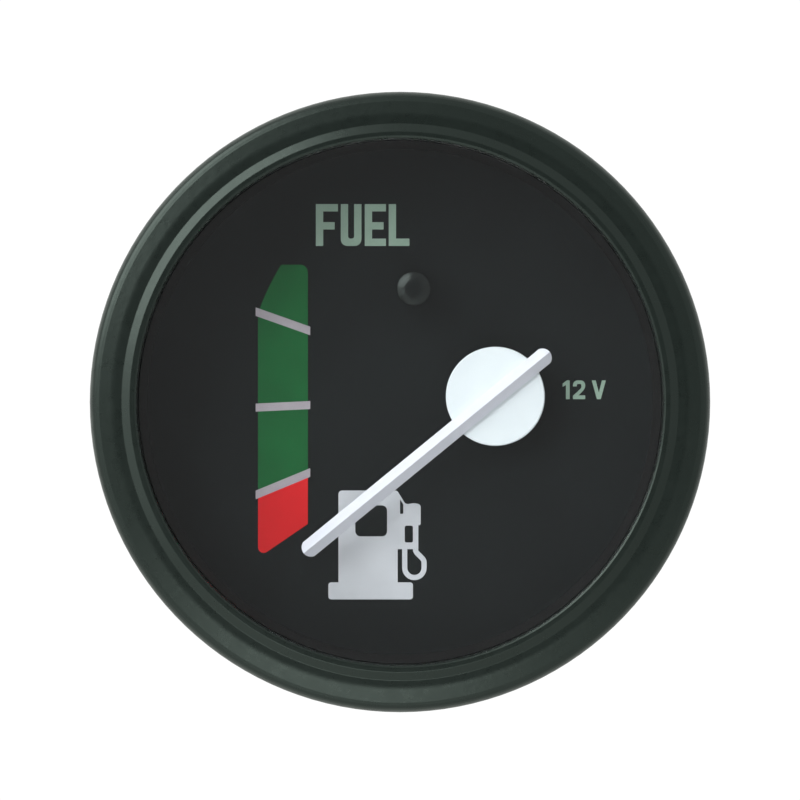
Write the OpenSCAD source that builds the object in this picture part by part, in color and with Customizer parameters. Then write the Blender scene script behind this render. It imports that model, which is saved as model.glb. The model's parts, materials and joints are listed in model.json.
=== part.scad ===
// Round dashboard fuel gauge with a moving iron movement, clamped into a panel from behind.
// The dial faces -Y and 12 o'clock is +Z. The origin is the centre of the bezel's seat on the panel.

/* [Panel and case] */
// Diameter of the hole in the dashboard panel
panel_hole_d = 60; // [58:0.5:61]
// Thickness of the dashboard panel, from the bezel's seat to the clamp's feet
panel_t = 2.5; // [2.2:0.1:4]
// Gap all round between the case and the panel hole
case_gap = 0.25; // [0.1:0.05:0.4]
// Thickness of the case steel
case_t = 0.7; // [0.5:0.1:0.9]
// Depth of the case behind the panel
case_depth = 35; // [34:0.5:40]
// Width of the ledge inside the case that carries the movement
ledge_w = 2.6; // [2.2:0.1:3]

/* [Bezel and glass] */
// How far the bezel reaches beyond the panel hole
bezel_rim = 2.5; // [2.3:0.1:3.5]
// Height of the bezel's crown in front of the panel
bezel_h = 7; // [6.4:0.1:8]
// Thickness of the bezel steel
bezel_t = 0.8; // [0.6:0.1:1]
// Width of the bezel's front, from the view to the rim
bezel_face = 5; // [4.6:0.1:5.2]
// Height of the bead round the view above the rest of the bezel's front
bead_h = 0.4; // [0.2:0.05:0.5]
// How far the bezel's front falls off from its middle to the rim
bezel_fall = 0.5; // [0.2:0.05:0.7]
// Thickness of the glass
glass_t = 2; // [1.6:0.1:2.4]
// Thickness of the rubber seal between glass and case
seal_t = 1; // [0.8:0.1:1.4]

/* [Dial] */
// Depth of the dial's face behind the panel plane
dial_y = 5; // [4.5:0.1:6]
// Thickness of the dial
dial_t = 0.6; // [0.5:0.1:1]
// Thickness of the printed layers on the dial
print_t = 0.12; // [0.08:0.01:0.2]
// Distance of the scale strip's left edge from the dial's centre
scale_left = 15.1; // [14:0.1:17]
// Width of the scale strip
scale_w = 5.3; // [4:0.1:6]
// Height of the scale strip's top above the dial's centre
scale_top = 14.6; // [13:0.1:16]
// Angle below level, seen from the pivot, of the strip's cut foot
foot_angle = 34.3; // [30:0.1:36]
// Angle above level of the upper mark
upper_mark = 19.5; // [15:0.1:25]
// Angle above level of the middle mark
middle_mark = -2.7; // [-8:0.1:5]
// Angle above level of the lower mark, where the red reserve begins
lower_mark = -22.4; // [-27:0.1:-18]
// Thickness of a mark's line
mark_w = 0.85; // [0.5:0.05:1.2]

/* [Pointer] */
// Distance of the pivot to the right of the dial's centre
pivot_x = 10.1; // [9:0.1:11]
// Height of the pivot above the dial's centre
pivot_z = 0.6; // [-1:0.1:2]
// Distance of the pointer's ridge in front of the dial
pointer_lift = 4.1; // [3.8:0.1:4.4]
// Length of the pointer from the pivot to its tip
pointer_l = 26.2; // [23:0.2:27]
// Length of the pointer's tail behind the pivot
tail_l = 7.4; // [6:0.2:9]
// Width of the pointer
pointer_w = 1.9; // [1.4:0.1:2.4]
// Height of the pointer from its back to its ridge
pointer_h = 1; // [0.6:0.1:1.3]
// Diameter of the white disc round the pivot
disc_d = 10.5; // [8:0.1:13]
// Angle of the pointer below level on its lower stop
rest_angle = 39.3; // [35:0.1:42]
// Angle of the pointer above level on its upper stop
full_angle = 41.2; // [38:0.1:45]
// Distance of the upper stop from the pivot
stop_reach = 14.3; // [12:0.1:16]
// Diameter of the sleeve on the upper stop
sleeve_d = 3.6; // [2.4:0.1:4.4]

/* [Movement] */
// Thickness of the movement plate
plate_t = 1; // [0.8:0.1:1.4]
// Thickness of the iron yokes
yoke_t = 1.2; // [1:0.1:1.6]
// Width of the yokes
yoke_w = 10; // [8:0.5:12]
// Distance from the pivot to the inside of the yokes' tabs
yoke_reach = 20; // [19:0.2:21]
// Half of the angle between the two coils
coil_spread = 45; // [43:0.5:52]
// Diameter of the coil flanges
coil_d = 13; // [11:0.5:13.5]
// Length of each coil
coil_l = 12; // [10:0.5:12.5]
// Diameter of the pole cores
core_d = 4; // [3:0.5:5]
// Radius of the armature
armature_r = 3.6; // [3:0.1:4]
// Gap between the armature and the pole faces
pole_gap = 0.4; // [0.3:0.05:0.8]
// Diameter of the spindle in its bearings
spindle_d = 1; // [0.8:0.1:1.2]
// Diameter of the damping disc
damper_d = 12.8; // [10:0.2:14]
// Diameter of the bridge pillars
pillar_d = 3; // [2.4:0.1:3.6]
// Distance of the two right hand pillars from the pivot
pillar_reach = 12.5; // [12:0.1:13]
// Distance of the left hand pillar from the pivot
left_pillar_reach = 15; // [13:0.5:17]
// Thickness of the rear bridge
bridge_t = 1; // [0.8:0.1:1.5]
// Diameter of the internal leads
lead_d = 0.9; // [0.6:0.1:1.2]

/* [Terminals] */
// Distance of the terminal rivets from the inside of the case
terminal_inset = 10.45; // [9.95:0.1:11.45]
// Height between neighbouring terminals
terminal_pitch = 9.5; // [9:0.1:10]
// Width of a blade
blade_w = 6.3; // [4.8:0.1:6.3]
// Thickness of a blade
blade_t = 0.8; // [0.5:0.1:1]
// Length of a blade from the back of its base
blade_l = 10; // [8:0.5:14]
// Thickness of the outer and inner insulators
insulator_t = 1; // [0.8:0.1:1.5]
// Diameter of the terminal rivets
rivet_d = 3; // [2:0.1:3.2]

/* [Clamp] */
// Diameter of the clamp stud
stud_d = 5; // [4:0.5:6]
// Length of the stud behind the case
stud_l = 17; // [16:0.5:25]
// Thickness of the clamp bracket
clamp_t = 1.2; // [1:0.1:1.5]
// Width of the clamp bracket
clamp_w = 12; // [10:0.5:12]
// Gap between the clamp's legs and the edge of the panel hole
leg_gap = 0.7; // [0.6:0.1:0.8]
// Diameter of the knurled nut
nut_d = 12; // [11:0.5:16]
// Height of the knurled nut
nut_h = 6; // [4:0.5:8]

/* [Lamp] */
// Distance of the lamp from the inside of the case
lamp_inset = 9.45; // [9.05:0.1:10.45]
// Diameter of the lamp's cap
cap_d = 9; // [8.6:0.1:9.2]
// Wall of the lamp holder
holder_t = 0.6; // [0.4:0.1:0.8]
// Length of the lamp's glass in front of its cap
bulb_l = 14; // [10:0.5:15]

/* [Hidden] */
$fn = 96;
arc_steps = 6;

// Clearances
press_gap = 0.01;   // between pieces of one body that are pressed together
running_gap = 0.02; // between the spindle and its bushes
slip_gap = 0.25;    // between pieces that only drop into each other
lamp_gap = 0.15;    // between the lamp holder and its hole
stop_gap = 0.12;    // left between a moving piece and its stop
end_float = 0.2;    // of the spindle between its bushes
coil_clear = 1.7;   // between the coils and the yokes behind which they lie
bridge_clear = 2.5; // between the coils and the rear bridge
far = 2 * panel_hole_d; // beyond every edge of the dial

// Planes from front to back, as distances behind the panel plane
flange_back = -bezel_t;
flange_front = flange_back - case_t;
seal_front = flange_front - seal_t;
glass_front = seal_front - glass_t;
plate_front = dial_y + dial_t;
plate_back = plate_front + plate_t;
yoke_back = plate_back + yoke_t;
coil_y = yoke_back + coil_clear + coil_d / 2;
bridge_front = coil_y + coil_d / 2 + bridge_clear;
bridge_back = bridge_front + bridge_t;
case_back = case_depth;
case_floor = case_depth - case_t;

// Radii of the housing
case_r = panel_hole_d / 2 - case_gap;
bore_r = case_r - case_t;
rear_bore_r = bore_r - ledge_w;
bezel_r = panel_hole_d / 2 + bezel_rim;
cavity_r = bezel_r - bezel_t;
view_r = bezel_r - bezel_face;
mouth_r = bezel_t;             // of the bend at the case's mouth, which ends at the panel plane
mouth_out = case_r + mouth_r;  // where the flange becomes flat

// Levels of the pointer, from the front
disc_t = 0.6;
ridge_y = dial_y - pointer_lift;
blade_back = ridge_y + pointer_h;
disc_back = blade_back + disc_t;
boss_back = dial_y - 0.5;
boss_r = 2;
shaft_front = disc_back + 0.4;

// Movement
pivot = [pivot_x, pivot_z];
coil_angles = [180 + coil_spread, 180 - coil_spread];
flange_t = 0.8;
bobbin_r = coil_d / 2;
tube_r = core_d / 2 + 0.7;
coil_in = yoke_reach - coil_l;
core_shank_r = 1.2;
spindle_r = spindle_d / 2;
shaft_r = spindle_r + 0.5;
bush_l = 1.4;
bush_flange_r = 2.6;
bush_body_r = 1.3;
arm_y = coil_y + coil_d / 2 - 0.7;
arm_rod_r = 0.4;
arm_l = pillar_reach + 0.6;
weight_r = 1.1;
weight_l = 2.4;
weight_at = 7.4;
pillar_r = pillar_d / 2;
pillar_rivet_r = 0.9;
bridge_arm_r = 2.3;
screw_r = 1;
screw_head_t = 1.3;
yoke_rivets_at = [8.5, 14.5];
yoke_rivet_r = 0.8;
stop_pin_r = 0.6;

// Angles of the stops: where a pointer or arm just meets its post
upper_stop_angle = 180 - full_angle
    - asin((pointer_w / 2 + sleeve_d / 2 + stop_gap) / stop_reach);
lower_stop_angle = rest_angle + asin((arm_rod_r + pillar_r + stop_gap) / pillar_reach);
pillar_places = [
    pivot + pillar_reach * [cos(lower_stop_angle), sin(lower_stop_angle)],
    pivot + pillar_reach * [cos(60), -sin(60)],
    pivot - [left_pillar_reach, 0]
];
stop_place = pivot + stop_reach * [cos(upper_stop_angle), sin(upper_stop_angle)];

// Terminals
terminal_x = rear_bore_r - terminal_inset;
feed = [terminal_x, -terminal_pitch];
sender = [terminal_x, terminal_pitch];
earth = [terminal_x, 0];
base_l = 7.4;
rivet_r = rivet_d / 2;
rivet_head_r = rivet_r + 0.8;
rivet_head_t = 0.8;
shoulder_r = rivet_r + 0.9;
insulator_out = case_back + insulator_t;
insulator_in = case_floor - insulator_t;
lead_from = insulator_in - rivet_head_t;
lead_plane = (bridge_back + screw_head_t + lead_from) / 2;

// Clamp
stud_r = stud_d / 2;
stud_head_t = 1.2;
stud_nut_t = 2.7;
grip_r = stud_r - 0.25;  // pitch radius of the thread, where the thin nut grips it
thread_from = case_back + stud_nut_t + 0.3;
bridge_gap = 3.8;
clamp_back = case_back + bridge_gap + clamp_t;
washer_t = 1.1;
leg_in = panel_hole_d / 2 + leg_gap;
leg_out = leg_in + clamp_t;

// Lamp
lamp = [lamp_inset - rear_bore_r, 0];
cap_r = cap_d / 2;
holder_in = cap_r + 0.15;
holder_r = holder_in + holder_t;
holder_inside = 11;
holder_outside = 7;
holder_front = case_back - holder_inside;
holder_back = case_back + holder_outside;
lamp_insulator_l = 4.5;
holder_flange_r = holder_r + 1.9;
cap_front = holder_front + 0.6;
cap_l = 8;
bulb_wall = 0.4;
contact_r = 1;
contact_l = 0.8;

// Functions for outlines

function unit(v) = v / norm(v);
function flat(p) = [p.x, p.y];
function reversed(list) = [for (i = [len(list) - 1:-1:0]) list[i]];
function normal(a, b) = let (d = unit(b - a)) [-d.y, d.x];

// The corner p = [x, y, radius] between two neighbours, as an arc.
function corner(before, p, after) =
    p.z == 0 ? [flat(p)] :
    let (
        u = unit(before - flat(p)),
        v = unit(after - flat(p)),
        half = acos(u * v) / 2,
        middle = flat(p) + unit(u + v) * p.z / sin(half),
        start = flat(p) + u * p.z / tan(half) - middle,
        finish = flat(p) + v * p.z / tan(half) - middle,
        a0 = atan2(start.y, start.x),
        sweep = (atan2(finish.y, finish.x) - a0 + 540) % 360 - 180
    )
    [for (i = [0:arc_steps]) let (a = a0 + sweep * i / arc_steps) middle + p.z * [cos(a), sin(a)]];

// An open line through points [x, y, radius], with its corners rounded.
function bent(path) = let (last = len(path) - 1) [
    for (i = [0:last]) each
        i == 0 || i == last ? [flat(path[i])] : corner(flat(path[i - 1]), path[i], flat(path[i + 1]))
];

// A closed outline through points [x, y, radius], with its corners rounded.
function rounded(path) = let (n = len(path)) [
    for (i = [0:n - 1]) each
        corner(flat(path[(i + n - 1) % n]), path[i], flat(path[(i + 1) % n]))
];

// The same line moved sideways by t to the left of its direction, its bends made tighter or wider.
function beside(path, t) = let (last = len(path) - 1) [
    for (i = [0:last])
        let (
            a = normal(flat(path[max(i - 1, 0)]), flat(path[max(i, 1)])),
            b = normal(flat(path[min(i, last - 1)]), flat(path[min(i + 1, last)])),
            moved = flat(path[i]) + t * (a + b) / (1 + a * b)
        )
        [moved.x, moved.y, path[i].z == 0 ? 0 : max(path[i].z - t * sign(cross(a, b)), 0)]
];

// The outline of a bent sheet of thickness t.
function sheet(path, t) = concat(bent(path), reversed(bent(beside(path, t))));

// Corner cutting: each pass rounds a line of points and keeps its two ends.
function smoother(p) = concat(
    [p[0]],
    [for (i = [0:len(p) - 2], s = [0.25, 0.75]) if (i + s > 0.5 && i + s < len(p) - 1.5)
        p[i] + (p[i + 1] - p[i]) * s],
    [p[len(p) - 1]]
);

// Placing modules

// Turns a profile drawn as [radius, distance behind the panel] about an axis along Y.
module turned(at = [0, 0]) {
    translate([at.x, 0, at.y]) rotate([-90, 0, 0]) rotate_extrude() children();
}

// A round bar along Y.
module rod(r, from, to, at = [0, 0]) {
    translate([at.x, from, at.y]) rotate([-90, 0, 0]) cylinder(r = r, h = to - from);
}

// A flat plate in the plane of the dial, from the distance y to y + t.
module plate(y, t) {
    translate([0, y + t, 0]) rotate([90, 0, 0]) linear_extrude(t) children();
}

// The pivot's own frame, with X pointing outwards at the given angle above +X.
module at_pivot(angle) {
    translate([pivot.x, 0, pivot.y]) rotate([0, -angle, 0]) children();
}

// A piece drawn along Z is laid along the coil's axis, outwards from the pivot.
module along_coil(angle) {
    at_pivot(angle) translate([0, coil_y, 0]) rotate([0, 90, 0]) children();
}

// A bar with round ends along X.
module capsule(from, to, r) {
    for (x = [from + r, to - r]) translate([x, 0]) circle(r);
    translate([from + r, -r]) square([to - from - 2 * r, 2 * r]);
}

// A bar with round ends between two points.
module link(a, b, r) {
    translate(a) rotate(atan2(b.y - a.y, b.x - a.x)) capsule(-r, norm(b - a) + r, r);
}

// A round wire along a line of points.
module wire(points, r) {
    sides = 8;
    last = len(points) - 1;
    aside = [0.31, 0.17, 1];
    rings = [
        for (i = [0:last])
            let (
                t = unit(points[min(i + 1, last)] - points[max(i - 1, 0)]),
                s = unit(cross(t, aside)),
                n = cross(s, t)
            )
            for (k = [0:sides - 1])
                let (a = 360 * k / sides) points[i] + r * (cos(a) * s + sin(a) * n)
    ];
    around = [for (i = [0:last - 1], k = [0:sides - 1]) each
        let (
            a = i * sides + k,
            b = i * sides + (k + 1) % sides
        )
        [[a, b, a + sides], [b, b + sides, a + sides]]];
    front = [for (k = [1:sides - 2]) [0, k + 1, k]];
    end = last * sides;
    back = [for (k = [1:sides - 2]) [end, end + k, end + k + 1]];
    polyhedron(rings, concat(around, front, back));
}

// Housing

// Pressed ring: the lip bears on the glass, the skirt is rolled in behind the case's flange.
// The outer half of the front falls off towards the rim. The bead round the view is struck up from
// the front only, with a flat outer flank, so the ring is thicker there and its back is plain.
module bezel() {
    crown = -bezel_h;
    face = crown + bead_h;
    bead_w = 0.75;
    bead_flank = 0.85;
    front = [
        [(view_r + bezel_r) / 2, face, 3.5],
        [bezel_r, face + bezel_fall, 1.3],
        [bezel_r, 0, 0.9],
        [mouth_out + 0.1, 0, 0]
    ];
    plain = concat([[view_r, glass_front, 0], [view_r, face, bezel_t]], front);
    beaded = concat([
        [view_r, glass_front, 0],
        [view_r, crown, 0.35],
        [view_r + bead_w, crown, 0.3],
        [view_r + bead_w + bead_flank, face, 0.3]
    ], front);
    color("#2c3431") turned()
        polygon(concat(bent(beaded), reversed(bent(beside(plain, bezel_t)))));
}

module glass() {
    edge = 0.3;
    r = cavity_r - 0.4;
    color("white", 0.15) turned() polygon(rounded([
        [0, glass_front, 0], [r, glass_front, edge], [r, seal_front, edge], [0, seal_front, 0]
    ]));
}

module glass_seal() {
    outer = cavity_r - 0.3;
    inner = mouth_out - 0.1;
    color("#1b1b1b") turned() polygon(rounded([
        [inner, seal_front, 0.25], [outer, seal_front, 0.25],
        [outer, flange_front, 0.25], [inner, flange_front, 0.25]
    ]));
}

// Drawn steel can with a flange at its mouth and a ledge for the movement.
module case() {
    color("#b9b4a0") difference() {
        turned() polygon(sheet([
            [cavity_r - 0.2, flange_front, 0],
            [bore_r, flange_front, mouth_r + case_t],
            [bore_r, plate_back, slip_gap],
            [rear_bore_r, plate_back, 1],
            [rear_bore_r, case_floor, 1.5],
            [0, case_floor, 0]
        ], -case_t));
        rod(holder_r + lamp_gap, case_floor - 1, case_back + 1, lamp);
        rod(stud_r + 0.05, case_floor - 1, case_back + 1);
        rod(rivet_r + 0.05, case_floor - 1, case_back + 1, earth);
        for (at = [feed, sender]) rod(shoulder_r + 0.1, case_floor - 1, case_back + 1, at);
    }
}

// Black ring that holds the dial on its ledge and hides the case wall.
module spacer_ring() {
    outer = bore_r - slip_gap;
    color("#1d1f1f") turned() polygon([
        [view_r, seal_front], [outer, seal_front], [outer, dial_y], [view_r - 0.6, dial_y]
    ]);
}

// Dial

module dial() {
    color("#292b2c") plate(dial_y, dial_t) difference() {
        circle(bore_r - slip_gap);
        translate(pivot) circle(bush_flange_r - 1);
        translate(stop_place) circle(stop_pin_r + 0.05);
    }
}

// The strip between its two upright edges, its top and its slanting foot.
// The upper left corner follows the circle that the pointer's tip draws.
module scale_shape() {
    left = -scale_left;
    right = left + scale_w;
    foot = [for (x = [left, right]) pivot_z + (x - pivot_x) * tan(foot_angle)];
    intersection() {
        polygon(rounded([
            [left, foot[0], 0.6], [right, foot[1], 0], [right, scale_top, 0.8], [left, scale_top, 0]
        ]));
        union() {
            translate([left - 1, -far]) square([scale_w + 2, far + pivot_z]);
            translate(pivot) circle(pointer_l + 0.5);
        }
    }
}

// Everything seen from the pivot below the angle at which the red reserve begins.
module reserve_side() {
    translate(pivot) rotate(180 - lower_mark) translate([0, mark_w / 2]) square([far, far]);
}

module scale_green() {
    color("#285e3a") plate(dial_y - print_t, print_t) difference() {
        scale_shape();
        reserve_side();
        mark_lines();
    }
}

module scale_red() {
    color("#c83437") plate(dial_y - print_t, print_t) difference() {
        intersection() {
            scale_shape();
            reserve_side();
        }
        mark_lines();
    }
}

// The three light lines, drawn towards the pivot and a little longer than the strip is wide.
module mark_lines() {
    overhang = 0.25;
    intersection() {
        for (angle = [upper_mark, middle_mark, lower_mark])
            translate(pivot) rotate(180 - angle) translate([0, -mark_w / 2]) square([far, mark_w]);
        translate([-scale_left - overhang, -far]) square([scale_w + 2 * overhang, 2 * far]);
    }
}

module scale_marks() {
    color("#9da1a3") plate(dial_y - print_t, print_t) mark_lines();
}

// Upper stop of the pointer

module stop_pin() {
    color("silver") rod(stop_pin_r, ridge_y + 0.2, plate_back, stop_place);
}

module stop_sleeve() {
    front = ridge_y - 0.6;
    r = sleeve_d / 2;
    color("#111111") turned(stop_place) polygon(rounded([
        [0, front, 0], [r, front, 0.7], [r, dial_y, 0],
        [stop_pin_r + press_gap, dial_y, 0], [stop_pin_r + press_gap, ridge_y + 0.2, 0],
        [0, ridge_y + 0.2, 0]
    ]));
}

// Movement

// Steel plate on the case's ledge, with a window that lets the lamp shine on the scale from behind.
module movement_plate() {
    margin = 1.2;
    left = -scale_left - margin;
    right = -scale_left + scale_w + margin;
    top = scale_top + margin;
    color("#a9aaa6") plate(plate_front, plate_t) difference() {
        circle(bore_r - slip_gap);
        polygon(rounded([[left, -top, 2], [right, -top, 2], [right, top, 2], [left, top, 2]]));
        translate(pivot) circle(bush_body_r + press_gap);
        translate(stop_place) circle(stop_pin_r + press_gap);
        for (at = pillar_places) translate(at) circle(pillar_rivet_r + press_gap);
        for (angle = coil_angles, u = yoke_rivets_at)
            translate(pivot) rotate(angle) translate([u, 0]) circle(yoke_rivet_r + press_gap);
    }
}

// Soft iron yoke: a strip under the coil, bent up to a tab that carries the pole core.
module yoke(angle) {
    tab_back = coil_y + core_d / 2 + 2.5;
    at_pivot(angle) difference() {
        linear_extrude(yoke_w, center = true) polygon(sheet([
            [yoke_w / 2 + 1, plate_back, 0],
            [yoke_reach + yoke_t, plate_back, yoke_t + 0.5],
            [yoke_reach + yoke_t, tab_back, 0]
        ], yoke_t));
        translate([0, coil_y, 0]) rotate([0, 90, 0])
            cylinder(r = core_shank_r + press_gap, h = 2 * yoke_reach);
        for (u = yoke_rivets_at) translate([u, 0, 0])
            rod(yoke_rivet_r + press_gap, plate_back - 1, yoke_back + 1);
    }
}

module empty_yoke() color("#7d7f80") yoke(coil_angles[0]);
module full_yoke() color("#7d7f80") yoke(coil_angles[1]);

module yoke_rivets() {
    head_r = 1.5;
    head_t = 0.8;
    color("#8c8f91") for (angle = coil_angles, u = yoke_rivets_at) at_pivot(angle) translate([u, 0, 0])
        turned() polygon(rounded([
            [0, plate_front, 0], [yoke_rivet_r, plate_front, 0], [yoke_rivet_r, yoke_back, 0],
            [head_r, yoke_back, 0], [head_r, yoke_back + head_t, 0.4], [0, yoke_back + head_t, 0]
        ]));
}

module bobbin(angle) {
    along_coil(angle) rotate_extrude() {
        bore = core_d / 2 + 0.05;
        difference() {
            translate([bore, coil_in]) square([bobbin_r - bore, coil_l]);
            translate([tube_r, coil_in + flange_t]) square([bobbin_r, coil_l - 2 * flange_t]);
        }
    }
}

// The wound wire, a little below the rims of the flanges and crowned in the middle.
module winding(angle) {
    inner = tube_r + press_gap;
    outer = bobbin_r - 0.5;
    from = coil_in + flange_t;
    to = yoke_reach - flange_t;
    along_coil(angle) rotate_extrude() polygon(rounded([
        [inner, from, 0], [outer - 0.3, from, 0.2], [outer, (from + to) / 2, 12],
        [outer - 0.3, to, 0.2], [inner, to, 0]
    ]));
}

// The pole core runs from the armature to the tab, where its end is riveted over.
module core(angle) {
    head = yoke_reach + yoke_t;
    along_coil(angle) rotate_extrude() polygon(rounded([
        [0, armature_r + pole_gap, 0], [core_d / 2, armature_r + pole_gap, 0],
        [core_d / 2, yoke_reach, 0], [core_shank_r, yoke_reach, 0],
        [core_shank_r, head, 0], [core_shank_r + 0.7, head, 0],
        [core_shank_r + 0.7, head + 0.6, 0.3], [0, head + 0.6, 0]
    ]));
}

module empty_bobbin() color("#e6e2d3") bobbin(coil_angles[0]);
module empty_winding() color("#a8552a") winding(coil_angles[0]);
module empty_core() color("#7d7f80") core(coil_angles[0]);
module full_bobbin() color("#e6e2d3") bobbin(coil_angles[1]);
module full_winding() color("#a8552a") winding(coil_angles[1]);
module full_core() color("#7d7f80") core(coil_angles[1]);

// Wire that joins the two coils at the rims of their inner flanges.
module coil_link() {
    at = coil_in + flange_t / 2;
    rim = coil_y + bobbin_r + 0.1;
    ends = [for (angle = coil_angles) pivot + at * [cos(angle), sin(angle)]];
    color("#6b2d1a") wire(smoother(smoother([
        [ends[0].x, rim, ends[0].y],
        [ends[0].x, rim + 1.2, ends[0].y],
        [ends[0].x - 1.5, rim + 1.4, ends[0].y / 2],
        [ends[0].x - 1.5, rim + 1.4, ends[1].y / 2],
        [ends[1].x, rim + 1.2, ends[1].y],
        [ends[1].x, rim, ends[1].y]
    ])), 0.3);
}

// Bearings of the spindle

module front_bush() {
    bore = spindle_r + running_gap;
    color("#c9a24a") turned(pivot) polygon([
        [bore, plate_front], [bush_body_r, plate_front], [bush_body_r, plate_back],
        [bush_flange_r, plate_back], [bush_flange_r, plate_back + 0.6],
        [bush_body_r, plate_back + 0.6], [bush_body_r, plate_back + bush_l], [bore, plate_back + bush_l]
    ]);
}

// Blind bush: its closed end takes the spindle's thrust.
module rear_bush() {
    bore = spindle_r + running_gap;
    color("#c9a24a") turned(pivot) polygon([
        [bore, bridge_front - 0.2], [bush_flange_r, bridge_front - 0.2], [bush_flange_r, bridge_front],
        [bush_body_r, bridge_front], [bush_body_r, bridge_back + 0.8],
        [0, bridge_back + 0.8], [0, bridge_back + 0.4], [bore, bridge_back + 0.4]
    ]);
}

module bridge_pillars() {
    color("#c2a35a") difference() {
        for (at = pillar_places) turned(at) polygon([
            [0, plate_front], [pillar_rivet_r, plate_front], [pillar_rivet_r, plate_back],
            [pillar_r, plate_back], [pillar_r, bridge_front], [0, bridge_front]
        ]);
        for (at = pillar_places) rod(screw_r + press_gap, bridge_front - 4.5, bridge_front + 1, at);
    }
}

// Three arms from the rear bearing to the pillars.
module rear_bridge() {
    color("#b4b5b0") plate(bridge_front, bridge_t) difference() {
        union() {
            translate(pivot) circle(bush_flange_r + 0.6);
            for (at = pillar_places) link(pivot, at, bridge_arm_r);
        }
        translate(pivot) circle(bush_body_r + press_gap);
        for (at = pillar_places) translate(at) circle(screw_r + 0.1);
    }
}

module bridge_screws() {
    head_r = 1.9;
    slot_w = 0.5;
    slot_t = 0.6;
    color("#d2d2cc") difference() {
        for (at = pillar_places) turned(at) polygon(rounded([
            [0, bridge_front - 4, 0], [screw_r, bridge_front - 4, 0.3], [screw_r, bridge_back, 0],
            [head_r, bridge_back, 0], [head_r, bridge_back + screw_head_t, 0.2],
            [0, bridge_back + screw_head_t, 0]
        ]));
        for (at = pillar_places)
            translate([at.x - head_r - 1, bridge_back + screw_head_t - slot_t, at.y - slot_w / 2])
                cube([2 * head_r + 2, 2 * slot_t, slot_w]);
    }
}

// Rotor

// Thick between the bearings, thin in them, with its front end in the pointer's boss.
module spindle() {
    shaft_from = plate_back + bush_l + end_float / 2;
    shaft_to = bridge_front - 0.2 - end_float / 2;
    color("#c5c8ca") turned(pivot) polygon([
        [0, shaft_front], [spindle_r, shaft_front], [spindle_r, shaft_from], [shaft_r, shaft_from],
        [shaft_r, shaft_to], [spindle_r, shaft_to],
        [spindle_r, bridge_back + 0.4 - end_float], [0, bridge_back + 0.4 - end_float]
    ]);
}

// Soft iron bar with round ends that turns between the pole faces.
module armature() {
    t = 2.8;
    color("#6f7274") at_pivot(rest_angle) plate(coil_y - t / 2, t) difference() {
        intersection() {
            circle(armature_r);
            square([2 * armature_r + 1, 3.2], center = true);
        }
        circle(shaft_r + press_gap);
    }
}

// Thin disc of copper, lightened by four holes.
module damping_disc() {
    hole_r = 1.3;
    color("#b87345") at_pivot(rest_angle) plate(yoke_back + 2.7, 0.6) difference() {
        circle(damper_d / 2);
        circle(shaft_r + press_gap);
        for (a = [45:90:315]) rotate(a) translate([damper_d / 3.2, 0]) circle(hole_r);
    }
}

// Hub and threaded rod opposite the pointer. The rod's end meets a pillar at rest.
module balance_arm() {
    hub_t = 1.6;
    hub_r = 2;
    color("#c9a24a") difference() {
        union() {
            rod(hub_r, arm_y - hub_t / 2, arm_y + hub_t / 2, pivot);
            at_pivot(rest_angle) translate([0, arm_y, 0]) rotate([0, 90, 0])
                cylinder(r = arm_rod_r, h = arm_l);
        }
        rod(shaft_r + press_gap, arm_y - hub_t, arm_y + hub_t, pivot);
    }
}

module balance_weight() {
    color("#b89038") at_pivot(rest_angle) translate([weight_at, arm_y, 0]) rotate([0, 90, 0])
        difference() {
            cylinder(r = weight_r, h = weight_l);
            translate([0, 0, -1]) cylinder(r = arm_rod_r + press_gap, h = weight_l + 2);
        }
}

// Brass boss pressed on the spindle's end. Its spigot centres the disc.
module pointer_boss() {
    spigot_r = 0.6;
    color("#c9a24a") turned(pivot) polygon([
        [0, blade_back], [spigot_r, blade_back], [spigot_r, disc_back], [boss_r, disc_back],
        [boss_r, boss_back], [spindle_r + press_gap, boss_back],
        [spindle_r + press_gap, shaft_front], [0, shaft_front]
    ]);
}

module pointer_disc() {
    r = disc_d / 2;
    bore = 0.6 + press_gap;
    color("#f2f6f8") turned(pivot) polygon(rounded([
        [bore, blade_back, 0], [r, blade_back, 0.15], [r, disc_back, 0.15], [bore, disc_back, 0]
    ]));
}

// Roof shaped blade with a round tip, lying across the disc.
module pointer_blade() {
    half = pointer_w / 2;
    brim = 0.3;
    color("#f2f6f8") at_pivot(180 + rest_angle) intersection() {
        translate([-tail_l, 0, 0]) rotate([0, 90, 0]) linear_extrude(tail_l + pointer_l) polygon([
            [-half, blade_back], [-half, blade_back - brim], [0, ridge_y],
            [half, blade_back - brim], [half, blade_back]
        ]);
        plate(ridge_y - 1, pointer_h + 2) capsule(-tail_l, pointer_l, half + 0.05);
    }
}

// Electrical connections

// Right angled blade: its base lies on y at the rivet, its blade stands up behind it.
module terminal(at, y) {
    from = at.x - base_l / 2 + 0.1;
    to = at.x + base_l / 2;
    tip = y + blade_l;
    half = blade_w / 2;
    bevel = 1;
    hole_r = 0.85;
    color("#cdb46a") translate([0, 0, at.y]) difference() {
        intersection() {
            linear_extrude(blade_w, center = true)
                polygon(sheet([[from, y, 0], [to, y, blade_t + 0.4], [to, tip, 0]], blade_t));
            translate([from - 1, 0, 0]) rotate([0, 90, 0]) linear_extrude(base_l + 2) polygon([
                [-half - 1, y - 1], [half + 1, y - 1], [half + 1, tip - bevel - 1],
                [half - bevel, tip], [bevel - half, tip], [-half - 1, tip - bevel - 1]
            ]);
        }
        rod(rivet_r + press_gap, y - 1, y + blade_t + 1, [at.x, 0]);
        translate([to - blade_t - 1, tip - 3, 0]) rotate([0, 90, 0]) cylinder(r = hole_r, h = blade_t + 2);
    }
}

module feed_terminal() terminal(feed, insulator_out);
module sender_terminal() terminal(sender, insulator_out);
module earth_terminal() terminal(earth, case_back);

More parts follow.
